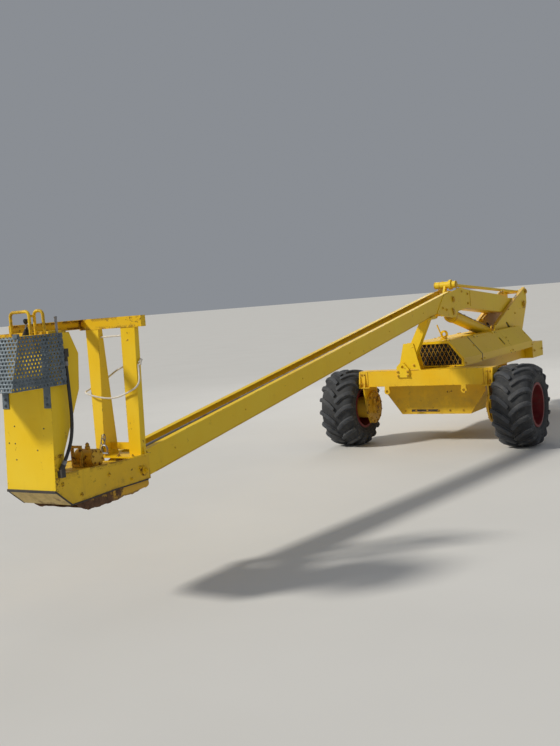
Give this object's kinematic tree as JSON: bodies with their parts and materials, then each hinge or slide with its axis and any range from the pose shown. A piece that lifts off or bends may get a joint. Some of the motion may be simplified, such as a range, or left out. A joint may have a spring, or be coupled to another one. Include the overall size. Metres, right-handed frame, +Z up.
{
  "type": "self-propelled cherry picker",
  "caption": "Orchard cherry picker: long boom over a hooded chassis on two driven wheels and a castor, self-levelling one-person platform with leg shield and controls.",
  "frame": {"origin": "on the ground, in the middle of the machine's outline", "axes": "+X forward towards the platform, +Y to the machine's left, +Z up"},
  "size_m": [8.645, 2.1738, 1.6318],
  "materials": {
    "yellow_paint": "satin",
    "rim_red": "satin",
    "tyre": "matte",
    "engine_iron": "matte",
    "bare_steel": "satin",
    "guard_steel": "satin",
    "dark_steel": "matte",
    "rod_chrome": "polished",
    "hose_rubber": "matte",
    "control_plastic": "matte"
  },
  "bodies": {
    "chassis": {"front_beam": "yellow_paint", "main_frame": "yellow_paint", "belly_pan": "yellow_paint", "hood_cowl": "yellow_paint", "hood_grille": "dark_steel", "hood_spine": "yellow_paint", "engine_block": "engine_iron", "counterweight": "yellow_paint", "mast": "yellow_paint", "boom_rest": "yellow_paint", "front_lug": "yellow_paint", "rear_hitch": "yellow_paint", "rear_tank_left": "yellow_paint", "rear_tank_right": "yellow_paint", "wheel_motor_left": "yellow_paint", "wheel_motor_right": "yellow_paint"},
    "wheel_left": {"tyre_left": "tyre", "rim_left": "rim_red"},
    "wheel_right": {"tyre_right": "tyre", "rim_right": "rim_red"},
    "castor_fork": {"castor_fork": "yellow_paint"},
    "castor_wheel": {"castor_tyre": "tyre", "castor_rim": "rim_red"},
    "boom": {"boom_front": "yellow_paint", "boom_arm": "yellow_paint", "boom_knuckle": "yellow_paint"},
    "level_lever": {"level_lever": "yellow_paint"},
    "rear_level_rod": {"rear_level_rod": "yellow_paint"},
    "front_level_rod": {"front_level_rod": "bare_steel"},
    "lift_barrel": {"lift_barrel": "yellow_paint"},
    "lift_rod": {"lift_rod": "rod_chrome"},
    "platform": {"platform_base": "yellow_paint", "platform_skid": "dark_steel", "platform_link": "yellow_paint", "platform_shield": "yellow_paint", "platform_posts": "yellow_paint", "platform_rail": "yellow_paint", "hand_guard": "guard_steel", "control_hoops": "yellow_paint", "control_levers": "control_plastic", "deck_valve": "yellow_paint", "control_hose": "hose_rubber", "hose_fittings": "dark_steel"},
    "engine_door_left": {"engine_door_left": "yellow_paint"},
    "engine_door_right": {"engine_door_right": "yellow_paint"}
  },
  "joints": [
    {"name": "wheel_left_spin", "type": "hinge", "parent": "chassis", "child": "wheel_left", "pos_m": [-1.3125, 0.897, 0.3935], "axis": [0, 1, 0], "continuous": true},
    {"name": "wheel_right_spin", "type": "hinge", "parent": "chassis", "child": "wheel_right", "pos_m": [-1.3125, -0.897, 0.3935], "axis": [0, 1, 0], "continuous": true},
    {"name": "castor_swivel", "type": "hinge", "parent": "chassis", "child": "castor_fork", "pos_m": [-3.6125, 0, 0.773], "axis": [0, 0, 1], "continuous": true},
    {"name": "castor_spin", "type": "hinge", "parent": "castor_fork", "child": "castor_wheel", "pos_m": [-3.7225, 0, 0.25], "axis": [0, 1, 0], "continuous": true},
    {"name": "boom_lift", "type": "hinge", "parent": "chassis", "child": "boom", "pos_m": [-4.1925, 0, 1.27], "axis": [0, -1, 0], "range_deg": [0, 60]},
    {"name": "barrel_swing", "type": "hinge", "parent": "chassis", "child": "lift_barrel", "pos_m": [-3.4125, 0, 0.937], "axis": [0, -1, 0], "range_deg": [0, 68.19]},
    {"name": "rod_stroke", "type": "slide", "parent": "lift_barrel", "child": "lift_rod", "axis": [0.9755, 0, 0.2201], "range_m": [0, 0.7991]},
    {"name": "lever_turn", "type": "hinge", "parent": "boom", "child": "level_lever", "pos_m": [-1.8225, 0, 1.424], "axis": [0, -1, 0], "range_deg": [-60.01, 0]},
    {"name": "rear_rod_turn", "type": "hinge", "parent": "chassis", "child": "rear_level_rod", "pos_m": [-4.2825, 0, 1.42589], "axis": [0, -1, 0], "range_deg": [0, 60.01]},
    {"name": "front_rod_turn", "type": "hinge", "parent": "level_lever", "child": "front_level_rod", "pos_m": [-1.8535, 0, 1.47769], "axis": [0, -1, 0], "range_deg": [0, 60.01]},
    {"name": "platform_level", "type": "hinge", "parent": "boom", "child": "platform", "pos_m": [3.3775, 0, 0.668], "axis": [0, -1, 0], "range_deg": [-60.01, 0]},
    {"name": "engine_door_left_open", "type": "hinge", "parent": "chassis", "child": "engine_door_left", "pos_m": [-1.3125, 0.192, 1.029], "axis": [1, 0, 0], "range_deg": [0, 80]},
    {"name": "engine_door_right_open", "type": "hinge", "parent": "chassis", "child": "engine_door_right", "pos_m": [-1.3125, -0.192, 1.029], "axis": [-1, 0, 0], "range_deg": [0, 80]}
  ],
  "couplings": [
    {"joint": "barrel_swing", "follows": "boom_lift", "ratio": 1.1364},
    {"joint": "rod_stroke", "follows": "boom_lift", "m_per_rad": 0.76263},
    {"joint": "lever_turn", "follows": "boom_lift", "ratio": -1},
    {"joint": "rear_rod_turn", "follows": "boom_lift", "ratio": 1},
    {"joint": "front_rod_turn", "follows": "boom_lift", "ratio": 1},
    {"joint": "platform_level", "follows": "boom_lift", "ratio": -1}
  ]
}
